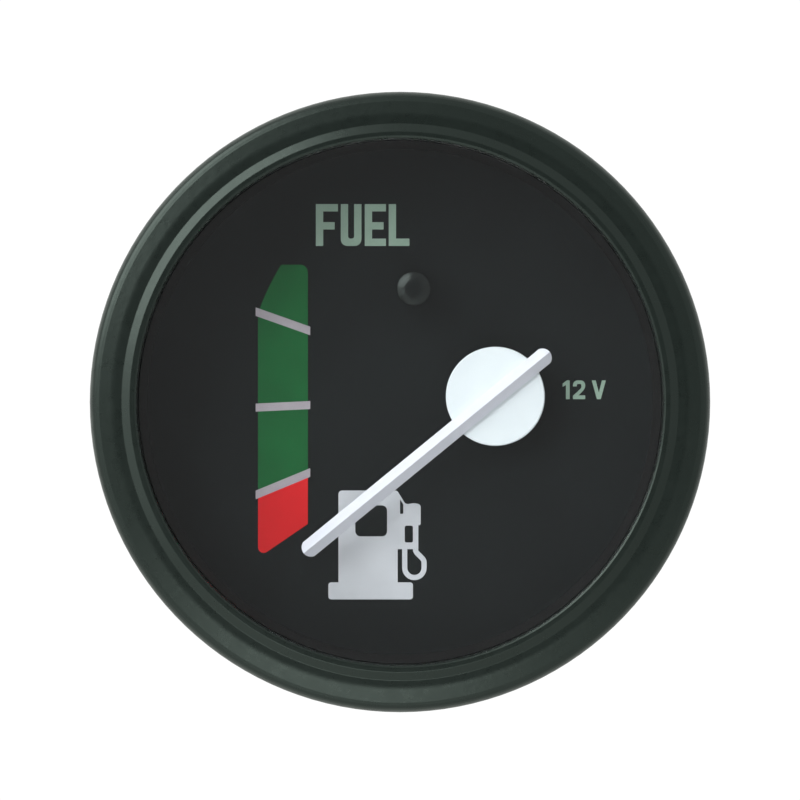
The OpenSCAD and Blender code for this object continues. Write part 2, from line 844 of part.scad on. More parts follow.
// Square washers behind the case, each with a shoulder that lines the hole.
module outer_insulators() {
    side = 8.6;
    color("#6e4a2c") for (at = [feed, sender]) difference() {
        union() {
            plate(case_back, insulator_t) translate(at) polygon(rounded(
                [for (c = [[-1, -1], [1, -1], [1, 1], [-1, 1]]) [c.x * side / 2, c.y * side / 2, 0.8]]
            ));
            rod(shoulder_r, case_floor, case_back, at);
        }
        rod(rivet_r + press_gap, case_floor - 1, insulator_out + 1, at);
    }
}

module inner_insulators() {
    color("#6e4a2c") for (at = [feed, sender]) turned(at)
        translate([rivet_r + press_gap, insulator_in]) square([shoulder_r + 1 - rivet_r, insulator_t]);
}

// A rivet that grips everything between two planes.
module rivet(at, from, to) {
    turned(at) polygon(rounded([
        [0, from - rivet_head_t, 0], [rivet_head_r, from - rivet_head_t, 0.4], [rivet_head_r, from, 0],
        [rivet_r, from, 0], [rivet_r, to, 0],
        [rivet_head_r, to, 0], [rivet_head_r, to + rivet_head_t, 0.4], [0, to + rivet_head_t, 0]
    ]));
}

module terminal_rivets() {
    color("#c2a35a") {
        for (at = [feed, sender]) rivet(at, insulator_in, insulator_out + blade_t);
        rivet(earth, case_floor, case_back + blade_t);
    }
}

// A lead from a terminal rivet's inner head to the rim of a coil's outer flange.
module lead(at, angle) {
    rim = coil_y + bobbin_r + 0.1;
    end = pivot + (yoke_reach - flange_t / 2) * [cos(angle), sin(angle)];
    side = sign(at.y);
    color("#8e2f24") wire(smoother(smoother([
        [at.x, lead_from, at.y],
        [at.x, lead_plane, at.y],
        [at.x - 6, lead_plane, at.y + side * 4],
        [end.x + 5, lead_plane, end.y],
        [end.x, rim + 3.5, end.y],
        [end.x, rim, end.y]
    ])), lead_d / 2);
}

module feed_lead() lead(feed, coil_angles[0]);
module sender_lead() lead(sender, coil_angles[1]);

// Clamp

// Stud with its flat head inside the case.
module clamp_stud() {
    head_r = stud_r + 2;
    color("#c8c9c4") turned() polygon(rounded([
        [0, case_floor - stud_head_t, 0], [head_r, case_floor - stud_head_t, 0.3],
        [head_r, case_floor, 0], [grip_r, case_floor, 0], [grip_r, thread_from, 0],
        [stud_r, thread_from, 0],
        [stud_r, case_back + stud_l - 0.5, 0], [stud_r - 0.5, case_back + stud_l, 0],
        [0, case_back + stud_l, 0]
    ]));
}

// Thin hexagon nut that draws the stud's head against the case.
module stud_nut() {
    across = 1.6 * stud_d;
    color("#c8c9c4") plate(case_back, stud_nut_t) difference() {
        circle(across / sqrt(3), $fn = 6);
        circle(grip_r + press_gap);
    }
}

// Strip bent to a U: its feet stand on the back of the panel.
module clamp_bracket() {
    color("#bfae72") difference() {
        translate([-clamp_w / 2, 0, 0]) rotate([0, 90, 0]) linear_extrude(clamp_w) polygon(sheet([
            [-leg_out, panel_t, 0],
            [-leg_out, clamp_back, clamp_t + 1.3],
            [leg_out, clamp_back, clamp_t + 1.3],
            [leg_out, panel_t, 0]
        ], -clamp_t));
        rod(stud_r + 0.25, clamp_back - clamp_t - 1, clamp_back + 1);
    }
}

// Split spring washer.
module clamp_washer() {
    color("#8f9294") plate(clamp_back, washer_t) difference() {
        circle(stud_r + 2);
        circle(stud_r + 0.25);
        rotate(30) translate([0, -0.3]) square([stud_r + 4, 0.6]);
    }
}

// Knurled nut, drawn with its grip as grooves round the rim.
module clamp_nut() {
    grooves = 24;
    groove_r = 0.35;
    neck = 1;
    from = clamp_back + washer_t;
    r = nut_d / 2;
    color("#c9a24a") difference() {
        turned() polygon(rounded([
            [stud_r + 0.05, from, 0], [r - 0.8, from, 0], [r - 0.8, from + neck, 0],
            [r, from + neck, 0.2],
            [r, from + nut_h, 0.4], [stud_r + 0.05, from + nut_h, 0]
        ]));
        for (k = [0:grooves - 1])
            rod(groove_r, from + neck + 0.6, from + nut_h + 1,
                r * [cos(k * 360 / grooves), sin(k * 360 / grooves)]);
    }
}

// Lamp

// Push-in sleeve with a collar behind the case and two slots for the bulb's pins.
module lamp_holder() {
    collar_t = 0.8;
    slot = 2;
    slot_l = 4.5;
    color("#c3a860") difference() {
        turned(lamp) polygon(rounded([
            [holder_in, holder_front, 0], [holder_r, holder_front, 0], [holder_r, case_back, 0],
            [holder_flange_r, case_back, 0], [holder_flange_r, case_back + collar_t, 0.3],
            [holder_r, case_back + collar_t, 0], [holder_r, holder_back, 0],
            [holder_in, holder_back, 0]
        ]));
        translate([lamp.x - holder_r - 1, holder_front - 1, -slot / 2])
            cube([2 * holder_r + 2, slot_l + 1, slot]);
    }
}

module lamp_insulator() {
    front = holder_back - lamp_insulator_l;
    inner = contact_r + press_gap;
    outer = holder_in - press_gap;
    color("#3a2a20") turned(lamp) polygon(rounded([
        [inner, front, 0], [outer, front, 0.3], [outer, holder_back, 0], [inner, holder_back, 0]
    ]));
}

// Centre contact with the blade that takes the lamp's lead.
module lamp_contact() {
    tip = holder_back + blade_l - 1;
    half = blade_w / 2;
    bevel = 1;
    hole_r = 0.85;
    color("#cdb46a") {
        rod(contact_r, cap_front + cap_l + contact_l, holder_back + contact_l, lamp);
        translate([lamp.x, 0, 0]) difference() {
            translate([-blade_t / 2, 0, 0]) rotate([0, 90, 0]) linear_extrude(blade_t) polygon([
                [-half, holder_back], [half, holder_back], [half, tip - bevel],
                [half - bevel, tip], [bevel - half, tip], [-half, tip - bevel]
            ]);
            translate([-1, tip - 3, 0]) rotate([0, 90, 0]) cylinder(r = hole_r, h = 2);
        }
    }
}

module bulb_cap() {
    pin_r = 0.8;
    color("#c8c9c4") difference() {
        union() {
            turned(lamp) polygon(rounded([
                [0, cap_front, 0], [cap_r, cap_front, 0.2], [cap_r, cap_front + cap_l, 0.5],
                [2, cap_front + cap_l, 0], [1.4, cap_front + cap_l + contact_l, 0.2],
                [0, cap_front + cap_l + contact_l, 0]
            ]));
            translate([lamp.x - holder_r, cap_front + 2.8, 0]) rotate([0, 90, 0])
                cylinder(r = pin_r, h = 2 * holder_r);
        }
        rod(cap_r - 0.6, cap_front - 1, cap_front + 0.6, lamp);
    }
}

module bulb_glass() {
    r = cap_r - 0.25;
    tip = cap_front - bulb_l;
    foot = cap_front + 0.5;
    color("white", 0.35) turned(lamp) polygon(sheet([
        [cap_r - 0.7, foot, 0], [cap_r - 0.7, cap_front - 1, 0.3], [r, cap_front - 2, 0.3],
        [r, tip, r - 0.1], [0, tip, 0]
    ], -bulb_wall));
}

bezel();
glass();
glass_seal();
case();
spacer_ring();
dial();
scale_green();
scale_red();
scale_marks();
stop_pin();
stop_sleeve();
movement_plate();
empty_yoke();
full_yoke();
yoke_rivets();
empty_bobbin();
empty_winding();
empty_core();
full_bobbin();
full_winding();
full_core();
coil_link();
front_bush();
rear_bush();
bridge_pillars();
rear_bridge();
bridge_screws();
spindle();
armature();
damping_disc();
balance_arm();
balance_weight();
pointer_boss();
pointer_disc();
pointer_blade();
feed_terminal();
sender_terminal();
earth_terminal();
outer_insulators();
inner_insulators();
terminal_rivets();
feed_lead();
sender_lead();
clamp_stud();
stud_nut();
clamp_bracket();
clamp_washer();
clamp_nut();
lamp_holder();
lamp_insulator();
lamp_contact();
bulb_cap();
bulb_glass();
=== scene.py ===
# %% [markdown]
# # A round fuel gauge, dressed for the camera
#
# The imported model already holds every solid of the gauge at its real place, in metres. This lesson
# gives each solid the finish of the real one, prints the dial, turns the stop's sleeve, cuts the
# stud's thread, winds the lamp's filament, and sets the gauge in plain studio light. It starts by
# loading that model as a fixed frame.

import json
import math

import bmesh
import bpy
from mathutils import Matrix, Vector


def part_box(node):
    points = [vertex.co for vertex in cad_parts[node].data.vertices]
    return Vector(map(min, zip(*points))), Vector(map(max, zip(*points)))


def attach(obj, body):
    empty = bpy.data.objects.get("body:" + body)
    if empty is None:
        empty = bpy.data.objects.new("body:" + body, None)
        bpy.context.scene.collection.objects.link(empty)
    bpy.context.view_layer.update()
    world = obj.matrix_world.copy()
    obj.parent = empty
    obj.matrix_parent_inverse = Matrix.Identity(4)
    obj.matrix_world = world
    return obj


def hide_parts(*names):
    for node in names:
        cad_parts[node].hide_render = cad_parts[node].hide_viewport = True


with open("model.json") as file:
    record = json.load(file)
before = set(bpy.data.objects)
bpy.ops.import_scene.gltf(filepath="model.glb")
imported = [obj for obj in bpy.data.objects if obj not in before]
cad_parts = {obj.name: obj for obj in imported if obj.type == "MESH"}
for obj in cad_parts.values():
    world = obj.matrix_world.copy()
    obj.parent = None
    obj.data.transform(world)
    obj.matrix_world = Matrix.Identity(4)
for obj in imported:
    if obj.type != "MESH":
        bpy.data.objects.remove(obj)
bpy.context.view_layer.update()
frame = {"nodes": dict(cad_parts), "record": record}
nodes = frame["nodes"]

MM = 0.001

# %% [markdown]
# ## Where the camera stands
#
# The gauge is seen straight from the front, so the camera looks along +Y from a long way off with
# a long lens, as for a catalogue. Close to the object a wide lens would bend the bezel over the
# dial. The focal length is worked out so that the 65 mm bezel fills its share of the picture.
# Cameras, lamps and pieces all enter the scene in the same way, so one small function does that.

# %% Camera
PICTURE = 800            # width and height of the picture, in pixels
BEZEL_PIXELS = 619       # how many of them the bezel takes
CENTRE_DROP = 2          # how far below the middle of the picture the gauge sits, in pixels
CAMERA_BACK = 600 * MM
NEAREST = 10 * MM        # what is nearer to the camera than this isn't drawn
SENSOR = 36.0            # width of the sensor, in mm, which the focal length goes with


def add_object(name, data):
    """A new object with this data, at the origin."""
    added = bpy.data.objects.new(name, data)
    bpy.context.collection.objects.link(added)
    return added


bezel_low, bezel_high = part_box("bezel")
bezel_width = bezel_high.x - bezel_low.x
rim_distance = CAMERA_BACK + (bezel_low.y + bezel_high.y) / 2
picture_width = bezel_width * PICTURE / BEZEL_PIXELS

camera = add_object("camera", bpy.data.cameras.new("camera"))
camera.data.sensor_width = SENSOR
camera.data.lens = SENSOR * rim_distance / picture_width
camera.data.clip_start = NEAREST
camera.location = (0, -CAMERA_BACK, CENTRE_DROP * picture_width / PICTURE)
camera.rotation_euler = (math.radians(90), 0, 0)
bpy.context.scene.camera = camera
print(f"lens {camera.data.lens:.0f} mm, picture {picture_width / MM:.1f} mm wide")

# %% [markdown]
# ## Colours and scales
#
# Paint charts and screens give colours as sRGB hex values, but Blender's shaders count light, so
# one function turns a hex value into linear light. A texture's scale counts features in a metre,
# so another turns a real size in millimetres into that count.

# %% Helpers for colours and scales
def hex_colour(code):
    """Turn an sRGB hex colour such as "#2c3431" into linear red, green, blue and alpha."""
    shares = [int(code[i:i + 2], 16) / 255 for i in (1, 3, 5)]
    return (*[c / 12.92 if c <= 0.04045 else ((c + 0.055) / 1.055) ** 2.4 for c in shares], 1.0)


def per_metre(size_mm):
    """How many features of this size in mm fit in a metre, which is a texture's scale."""
    return 1 / (size_mm * MM)


print(f"a pattern 1 mm wide has a scale of {per_metre(1):.0f}")

# %% [markdown]
# ## Nodes and materials
#
# One function adds a node with its settings and links, so that each material below reads as a
# short recipe. Nearly every recipe starts with the same nodes and ends by filling in the shader,
# and two more functions do that.
#
# Some sockets go by number, because a node can have several of one name. A Mix node's input 0 is
# its factor: it mixes the numbers of inputs 2 and 3 to output 0, and the colours of inputs 6 and 7
# to output 2. The inputs of a Math or a Mix Shader node simply count up from 0. Output 0 of a noise
# is its value, and output 1 of a wave is its height.

# %% Helpers for nodes and materials
NOISE_RANGE = {"From Min": 0.3, "From Max": 0.7}     # nearly all of a noise lies in this range
TONE_RANGE = {"From Min": 0.35, "From Max": 0.65}    # a narrower one shows both tones in full


def set_inputs(tree, node, inputs):
    """Set each input of a node, or link it where the value is another node's socket."""
    for name, value in inputs.items():
        if isinstance(value, bpy.types.NodeSocket):
            tree.links.new(value, node.inputs[name])
        else:
            node.inputs[name].default_value = value


def add_node(tree, kind, inputs, **settings):
    """Add a node of this kind with its settings and inputs."""
    node = tree.nodes.new(kind)
    for name, value in settings.items():
        setattr(node, name, value)
    set_inputs(tree, node, inputs)
    return node


def start_material(name):
    """A new material, its node tree, its Principled shader and its Object coordinates."""
    material = bpy.data.materials.new(name)
    material.use_nodes = True
    tree = material.node_tree
    place = add_node(tree, "ShaderNodeTexCoord", {}).outputs["Object"]
    return material, tree, tree.nodes["Principled BSDF"], place


def fill_shader(tree, surface, colour, roughness, height, depth_mm, **shader):
    """Link colour, roughness and a relief of this depth to the shader, and set the rest."""
    relief = add_node(tree, "ShaderNodeBump", {
        "Height": height, "Strength": 1.0, "Distance": depth_mm * MM})
    set_inputs(tree, surface, {
        "Base Color": colour, "Roughness": roughness, "Normal": relief.outputs[0], **shader})


print("a noise is read from", NOISE_RANGE["From Min"], "to", NOISE_RANGE["From Max"])

# %% [markdown]
# ## The recipe for a plain finish
#
# Most small pieces share one recipe: a base colour that drifts between two near tones in patches,
# a fine grain that shows in the roughness, and a shallow relief. What makes them different are the
# real sizes: how wide the patches are, how fine the grain is, and how deep the relief is. A rolled
# or turned surface has its grain stretched along the way it was worked, which the Mapping node
# does by scaling one axis.

# %% Plain finish
GRAIN_SHARE = 0.3        # how much of the tone follows the grain, and the rest the patches


def plain_finish(
        name, dark, light, patch_mm, grain_mm, rough, relief_mm, stretch=(1, 1, 1), **shader):
    """A finish of two mottled tones with a fine grain. rough is the least and most roughness."""
    material, tree, surface, place = start_material(name)
    grain_place = add_node(tree, "ShaderNodeMapping", {"Vector": place, "Scale": stretch})
    patches = add_node(tree, "ShaderNodeTexNoise", {
        "Vector": place, "Scale": per_metre(patch_mm), "Detail": 3.0, "Roughness": 0.55})
    grain = add_node(tree, "ShaderNodeTexNoise", {
        "Vector": grain_place.outputs[0], "Scale": per_metre(grain_mm), "Detail": 4.0,
        "Roughness": 0.6})
    both = add_node(tree, "ShaderNodeMix", {
        0: GRAIN_SHARE, 2: patches.outputs[0], 3: grain.outputs[0]}, data_type="FLOAT")
    spread = add_node(tree, "ShaderNodeMapRange", {"Value": both.outputs[0], **TONE_RANGE})
    colour = add_node(tree, "ShaderNodeMix", {
        0: spread.outputs[0], 6: hex_colour(dark), 7: hex_colour(light)}, data_type="RGBA")
    roughness = add_node(tree, "ShaderNodeMapRange", {
        "Value": grain.outputs[0], **NOISE_RANGE, "To Min": rough[0], "To Max": rough[1]})
    fill_shader(
        tree, surface, colour.outputs[2], roughness.outputs[0], grain.outputs[0], relief_mm,
        **shader)
    return material


print(f"grain makes {GRAIN_SHARE:.0%} of a plain finish's tone")

# %% [markdown]
# ## Stoved black enamel
#
# The bezel is pressed steel with black stoving enamel: a thick film that levels in the oven, so it
# is satin and has a faint orange peel about 0.7 mm wide. It could be a single dark colour, but on
# the real ring the film drifts from black to a greenish black. The outermost edge is painted greyer
# in spots: a painted reflection of the pale room on its rounded edge. That painted reflection
# belongs to a radius, so it is driven by the distance from the ring's axis.

# %% Bezel enamel
RIM_SHEEN_REACH = 0.5          # how far in from the outer edge the painted reflection reaches, in mm
ENAMEL_SPOT = 1.6        # width of a spot that breaks up the painted reflection and varies the roughness
ENAMEL_PATCH = 7         # width of the patches in which the black drifts
PEEL = 0.7               # width of the orange peel's bumps
PEEL_DEPTH = 0.01


def stoved_enamel():
    """Satin black enamel with an orange peel, and a painted reflection that greys the outer edge."""
    material, tree, surface, place = start_material("stoved_black_enamel")
    across = add_node(tree, "ShaderNodeMapping", {"Vector": place, "Scale": (1, 0, 1)})
    radius = add_node(tree, "ShaderNodeVectorMath", {0: across.outputs[0]}, operation="LENGTH")
    edge = add_node(tree, "ShaderNodeMapRange", {
        "Value": radius.outputs["Value"], "From Min": bezel_high.x - RIM_SHEEN_REACH * MM,
        "From Max": bezel_high.x})
    enamel_spots = add_node(tree, "ShaderNodeTexNoise", {
        "Vector": place, "Scale": per_metre(ENAMEL_SPOT), "Detail": 5.0, "Roughness": 0.7})
    painted_sheen = add_node(tree, "ShaderNodeMath", {
        0: edge.outputs[0], 1: enamel_spots.outputs[0]}, operation="MULTIPLY")
    patches = add_node(tree, "ShaderNodeTexNoise", {
        "Vector": place, "Scale": per_metre(ENAMEL_PATCH), "Detail": 3.0})
    enamel = add_node(tree, "ShaderNodeMix", {
        0: patches.outputs[0], 6: hex_colour("#0c1210"), 7: hex_colour("#121816")},
        data_type="RGBA")
    # Painted reflection: near the outer edge the colour is mixed towards grey, in spots.
    colour = add_node(tree, "ShaderNodeMix", {
        0: painted_sheen.outputs[0], 6: enamel.outputs[2], 7: hex_colour("#5d645e")}, data_type="RGBA")
    peel = add_node(tree, "ShaderNodeTexNoise", {
        "Vector": place, "Scale": per_metre(PEEL), "Detail": 2.0})
    roughness = add_node(tree, "ShaderNodeMapRange", {
        "Value": enamel_spots.outputs[0], **NOISE_RANGE, "To Min": 0.25, "To Max": 0.33})
    fill_shader(
        tree, surface, colour.outputs[2], roughness.outputs[0], peel.outputs[0], PEEL_DEPTH,
        **{"IOR": 1.5, "Specular Tint": hex_colour("#dff6ea")})
    return material


bezel_enamel = stoved_enamel()
# The grey over the outer edge is a painted reflection of the pale room.
print("enamel worn over the outer", RIM_SHEEN_REACH, "mm")

# %% [markdown]
# ## The window
#
# The window is a flat disc of 2 mm clear glass. Glass could be one Principled shader with full
# transmission, but then the studio's light would have to find its way through by chance, and the
# dial would stay dark and noisy. So rays that ask "is this spot lit?" pass a Transparent shader
# instead, and all other rays see real glass. Old windows are never quite clean: faint smears 9 mm
# wide blur the reflection a little.

# %% Window glass
SMEAR = 9                # width of a smear, in mm


def window_glass():
    """Clear flat glass, through which the soft boxes light the dial."""
    material, tree, surface, place = start_material("clear_window_glass")
    smears = add_node(tree, "ShaderNodeTexNoise", {
        "Vector": place, "Scale": per_metre(SMEAR), "Detail": 4.0, "Roughness": 0.6})
    roughness = add_node(tree, "ShaderNodeMapRange", {
        "Value": smears.outputs[0], "From Min": 0.45, "From Max": 0.75, "To Min": 0.0,
        "To Max": 0.02})
    set_inputs(tree, surface, {
        "Base Color": hex_colour("#fbfdfd"), "Roughness": roughness.outputs[0], "IOR": 1.52,
        "Transmission Weight": 1.0})
    rays = add_node(tree, "ShaderNodeLightPath", {})
    clear = add_node(tree, "ShaderNodeBsdfTransparent", {"Color": hex_colour("#fbfdfd")})
    mix = add_node(tree, "ShaderNodeMixShader", {
        0: rays.outputs["Is Shadow Ray"], 1: surface.outputs[0], 2: clear.outputs[0]})
    tree.links.new(mix.outputs[0], tree.nodes["Material Output"].inputs["Surface"])
    return material


clear_glass = window_glass()
print(clear_glass.name, "passes shadow rays")

# %% [markdown]
# ## Paint and ink on the dial
#
# The dial is a steel disc sprayed matt charcoal. Matt paint scatters light because it is full of
# fine matting powder, so its grain is small, its roughness high and its gloss weak. The scale, the
# word and the sign are screen printed on it: an ink film with straight edges, a little smoother
# than the paint and with the fine tooth of the screen's mesh. The greys differ: the sign was laid
# down more thickly than the lines, so it is paler, and the word's grey is a little green.

# %% Dial paint and inks
MATT_GLOSS = 0.12        # Specular IOR Level of matt paint and ink, where 0.5 is full gloss
SCREEN_MESH = 0.12       # width of the screen's mesh, in mm


def screen_ink(name, dark, light, patch_mm):
    """A printed film of ink with the tooth of the screen's mesh."""
    return plain_finish(
        name, dark, light, patch_mm, SCREEN_MESH, (0.5, 0.65), 0.003,
        **{"IOR": 1.48, "Specular IOR Level": MATT_GLOSS})


dial_paint = plain_finish(
    "matt_charcoal_paint", "#0b1112", "#101617", 8, 0.14, (0.66, 0.8), 0.003,
    **{"IOR": 1.45, "Specular IOR Level": MATT_GLOSS})
green_print = screen_ink("green_screen_ink", "#08582a", "#0d6230", 5)
red_print = screen_ink("red_screen_ink", "#d6191f", "#df1e24", 5)
grey_print = screen_ink("grey_screen_ink", "#a8a0a8", "#b6aeb6", 4)
word_print = screen_ink("green_grey_screen_ink", "#92aa9a", "#9db5a5", 4)
pale_print = screen_ink("pale_grey_screen_ink", "#cbcdd3", "#d7d9df", 4)
print("inks with a tooth of", SCREEN_MESH, "mm on", dial_paint.name)

# %% [markdown]
# ## Plastics, rubber and board
#
# The hub's disc is moulded in white styrene and the pointer is aluminium sprayed white; both are
# satin. The stop's sleeve and the seal are rubber from a polished mould, which gives them a soft
# shine, and the spacer ring is matt moulded plastic. The terminals stand on squares of phenolic
# board: paper pressed with brown resin, so its tone follows the fibres.

# %% Plastics and rubber
white_plastic = plain_finish(
    "satin_white_styrene", "#e4ebf0", "#ebf2f6", 5, 0.3, (0.35, 0.45), 0.004, IOR=1.49)
white_aluminium = plain_finish(
    "white_sprayed_aluminium", "#dddee9", "#e4e5ef", 4, 0.15, (0.42, 0.52), 0.004, IOR=1.49)
black_rubber = plain_finish(
    "moulded_black_rubber", "#040708", "#080b0c", 3, 0.25, (0.14, 0.2), 0.002,
    **{"IOR": 1.5, "Specular IOR Level": 0.4, "Specular Tint": hex_colour("#e4f4ee")})
black_plastic = plain_finish(
    "moulded_black_styrene", "#080909", "#0c0d0d", 4, 0.3, (0.5, 0.62), 0.006,
    **{"IOR": 1.46, "Specular IOR Level": 0.25})
nylon = plain_finish(
    "natural_nylon", "#d9d3bf", "#e9e4d4", 4, 0.3, (0.4, 0.5), 0.006, IOR=1.53)
lead_sleeve = plain_finish(
    "red_pvc_sleeve", "#7c241c", "#99342a", 3, 0.2, (0.3, 0.4), 0.004, IOR=1.53)
phenolic = plain_finish(
    "phenolic_paper_board", "#3f2616", "#6d4529", 2.0, 0.25, (0.4, 0.55), 0.01,
    stretch=(1, 1, 0.3), IOR=1.6)
print(black_rubber.name, "shines,", black_plastic.name, "is matt")

# %% [markdown]
# ## Yellow passivated zinc
#
# The can and its clamp are steel, zinc plated and dipped in a yellow chromate. The film is thinner
# than a wavelength here and thicker there, so the yellow drifts to straw, and with it goes a faint
# play of pink and green. Drawing leaves the can fine lines along its axis, and rolling leaves the
# clamp's strip lines along its length. The lines are stretched noise: 0.25 mm across and many
# times longer.

# %% Zinc
FILM_PATCH = 11          # width of the patches of thick and thin film, in mm
FILM_CLOUD = 6           # width of the pink and green clouds
CLOUD_SHARE = 0.3        # how much of the colour they make
WORK_LINE = 0.25         # width of a line that drawing or rolling leaves
LINE_DEPTH = 0.002


def passivated_zinc(name, lines):
    """Yellow chromate over zinc. lines stretches the drawing or rolling marks."""
    material, tree, surface, place = start_material(name)
    drift = add_node(tree, "ShaderNodeTexNoise", {
        "Vector": place, "Scale": per_metre(FILM_PATCH), "Detail": 3.0, "Roughness": 0.5})
    play = add_node(tree, "ShaderNodeTexNoise", {
        "Vector": place, "Scale": per_metre(FILM_CLOUD), "Detail": 2.0, "Distortion": 1.2})
    marks_place = add_node(tree, "ShaderNodeMapping", {"Vector": place, "Scale": lines})
    marks = add_node(tree, "ShaderNodeTexNoise", {
        "Vector": marks_place.outputs[0], "Scale": per_metre(WORK_LINE), "Detail": 3.0,
        "Roughness": 0.5})
    depth = add_node(tree, "ShaderNodeMapRange", {"Value": drift.outputs[0], **TONE_RANGE})
    yellow = add_node(tree, "ShaderNodeMix", {
        0: depth.outputs[0], 6: hex_colour("#b8ab7c"), 7: hex_colour("#cdc5a2")},
        data_type="RGBA")
    sheen = add_node(tree, "ShaderNodeMix", {
        0: play.outputs[0], 6: hex_colour("#c4ad9a"), 7: hex_colour("#b0b79a")},
        data_type="RGBA")
    film = add_node(tree, "ShaderNodeMix", {
        0: CLOUD_SHARE, 6: yellow.outputs[2], 7: sheen.outputs[2]}, data_type="RGBA")
    roughness = add_node(tree, "ShaderNodeMapRange", {
        "Value": marks.outputs[0], **NOISE_RANGE, "To Min": 0.27, "To Max": 0.4})
    fill_shader(
        tree, surface, film.outputs[2], roughness.outputs[0], marks.outputs[0], LINE_DEPTH,
        Metallic=1.0)
    return material


drawn_zinc = passivated_zinc("drawn_steel_yellow_zinc", lines=(1, 0.08, 1))
rolled_zinc = passivated_zinc("rolled_strip_yellow_zinc", lines=(1, 0.3, 0.08))
print(drawn_zinc.name, "and", rolled_zinc.name)

# %% [markdown]
# ## Bare and plated metals
#
# The small metal parts keep Blender's default metal reflection, and differ in colour, roughness
# and the way they were worked: bright zinc on the stamped steel, oiled soft iron for the poles and
# yokes, stamped and turned brass for the terminals, nut and lamp holder.

# %% Small metals
bright_steel = plain_finish(
    "bright_zinc_plating", "#a9acab", "#c2c5c3", 5, 0.3, (0.24, 0.36), 0.003, Metallic=1.0)
soft_iron = plain_finish(
    "oiled_soft_iron", "#5b5d60", "#75787b", 3, 0.2, (0.35, 0.5), 0.005, Metallic=1.0)
brass = plain_finish(
    "worked_brass", "#a98a49", "#ccae64", 4, 0.25, (0.24, 0.38), 0.003, Metallic=1.0)
print("small metals:", bright_steel.name, soft_iron.name, brass.name)

# %% [markdown]
# ## Wire and the damping disc
#
# A coil is wound with enamelled copper wire, turn beside turn. Each turn could be modelled, but
# there are hundreds, so the turns are a wave of height along the coil's own axis, and the grooves
# between them are painted darker, as painted shade. The axis comes from the solids: it runs from
# the spindle to the middle of the winding. The real wire is 0.1 mm thick; the wave is 0.25 mm wide,
# so that the turns still show.

# %% Wound wire
TURN_WIDTH = 0.25
TURN_DEPTH = TURN_WIDTH / 4
WIRE_PATCH = 2.5
WAVES = 20 / (2 * math.pi)   # how many bands a wave texture of scale 1 has in a unit

spindle_low, spindle_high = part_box("spindle")
spindle_middle = (spindle_low + spindle_high) / 2


def wound_wire(winding):
    """Enamelled copper wire in turns round the axis of this winding."""
    low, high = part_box(winding)
    axis = (low + high) / 2 - spindle_middle
    tilt = math.atan2(axis.z, axis.x)
    material, tree, surface, place = start_material(winding + "_copper_wire")
    along = add_node(tree, "ShaderNodeMapping", {"Vector": place, "Rotation": (0, tilt, 0)})
    turns = add_node(tree, "ShaderNodeTexWave", {
        "Vector": along.outputs[0], "Scale": per_metre(TURN_WIDTH) / WAVES, "Distortion": 0.3,
        "Detail": 1.0}, bands_direction="X")
    patches = add_node(tree, "ShaderNodeTexNoise", {
        "Vector": place, "Scale": per_metre(WIRE_PATCH)})
    wire = add_node(tree, "ShaderNodeMix", {
        0: patches.outputs[0], 6: hex_colour("#8e4526"), 7: hex_colour("#b4653a")},
        data_type="RGBA")
    # Painted shade: where the wave is low, in the grooves between turns, the colour goes dark brown.
    colour = add_node(tree, "ShaderNodeMix", {
        0: turns.outputs[1], 6: hex_colour("#3c1a0e"), 7: wire.outputs[2]}, data_type="RGBA")
    roughness = add_node(tree, "ShaderNodeMapRange", {
        "Value": patches.outputs[0], **NOISE_RANGE, "To Min": 0.25, "To Max": 0.36})
    fill_shader(
        tree, surface, colour.outputs[2], roughness.outputs[0], turns.outputs[1], TURN_DEPTH,
        Metallic=0.9)
    print(winding, f"axis at {math.degrees(tilt):.0f} degrees")
    return material


empty_wire = wound_wire("empty_winding")
full_wire = wound_wire("full_winding")

# %% [markdown]
# The damping disc is copper sheet faced on a lathe, so its fine rings run round the spindle. The
# distance from the spindle's axis drives them, as it did the wear on the bezel.

# %% Faced copper
RING_WIDTH = 0.3
RING_DEPTH = 0.004
COPPER_PATCH = 3


def faced_copper():
    """Copper with the rings of a facing cut round the spindle."""
    material, tree, surface, place = start_material("faced_copper")
    centred = add_node(tree, "ShaderNodeMapping", {
        "Vector": place, "Location": (-spindle_middle.x, 0, -spindle_middle.z)})
    across = add_node(tree, "ShaderNodeMapping", {
        "Vector": centred.outputs[0], "Scale": (1, 0, 1)})
    rings = add_node(tree, "ShaderNodeTexWave", {
        "Vector": across.outputs[0], "Scale": per_metre(RING_WIDTH) / WAVES},
        wave_type="RINGS", rings_direction="SPHERICAL")
    patches = add_node(tree, "ShaderNodeTexNoise", {
        "Vector": place, "Scale": per_metre(COPPER_PATCH), "Detail": 3.0})
    colour = add_node(tree, "ShaderNodeMix", {
        0: patches.outputs[0], 6: hex_colour("#93502f"), 7: hex_colour("#c07848")},
        data_type="RGBA")
    roughness = add_node(tree, "ShaderNodeMapRange", {
        "Value": rings.outputs[1], "To Min": 0.22, "To Max": 0.36})
    fill_shader(
        tree, surface, colour.outputs[2], roughness.outputs[0], rings.outputs[1], RING_DEPTH,
        Metallic=1.0)
    return material


copper = faced_copper()
print("rings every", RING_WIDTH, "mm")

# %% [markdown]
# ## Giving each solid its finish
#
# The record says which finish each solid has, as a slot name. A few solids share a slot but were
# worked another way, so these are named one by one.

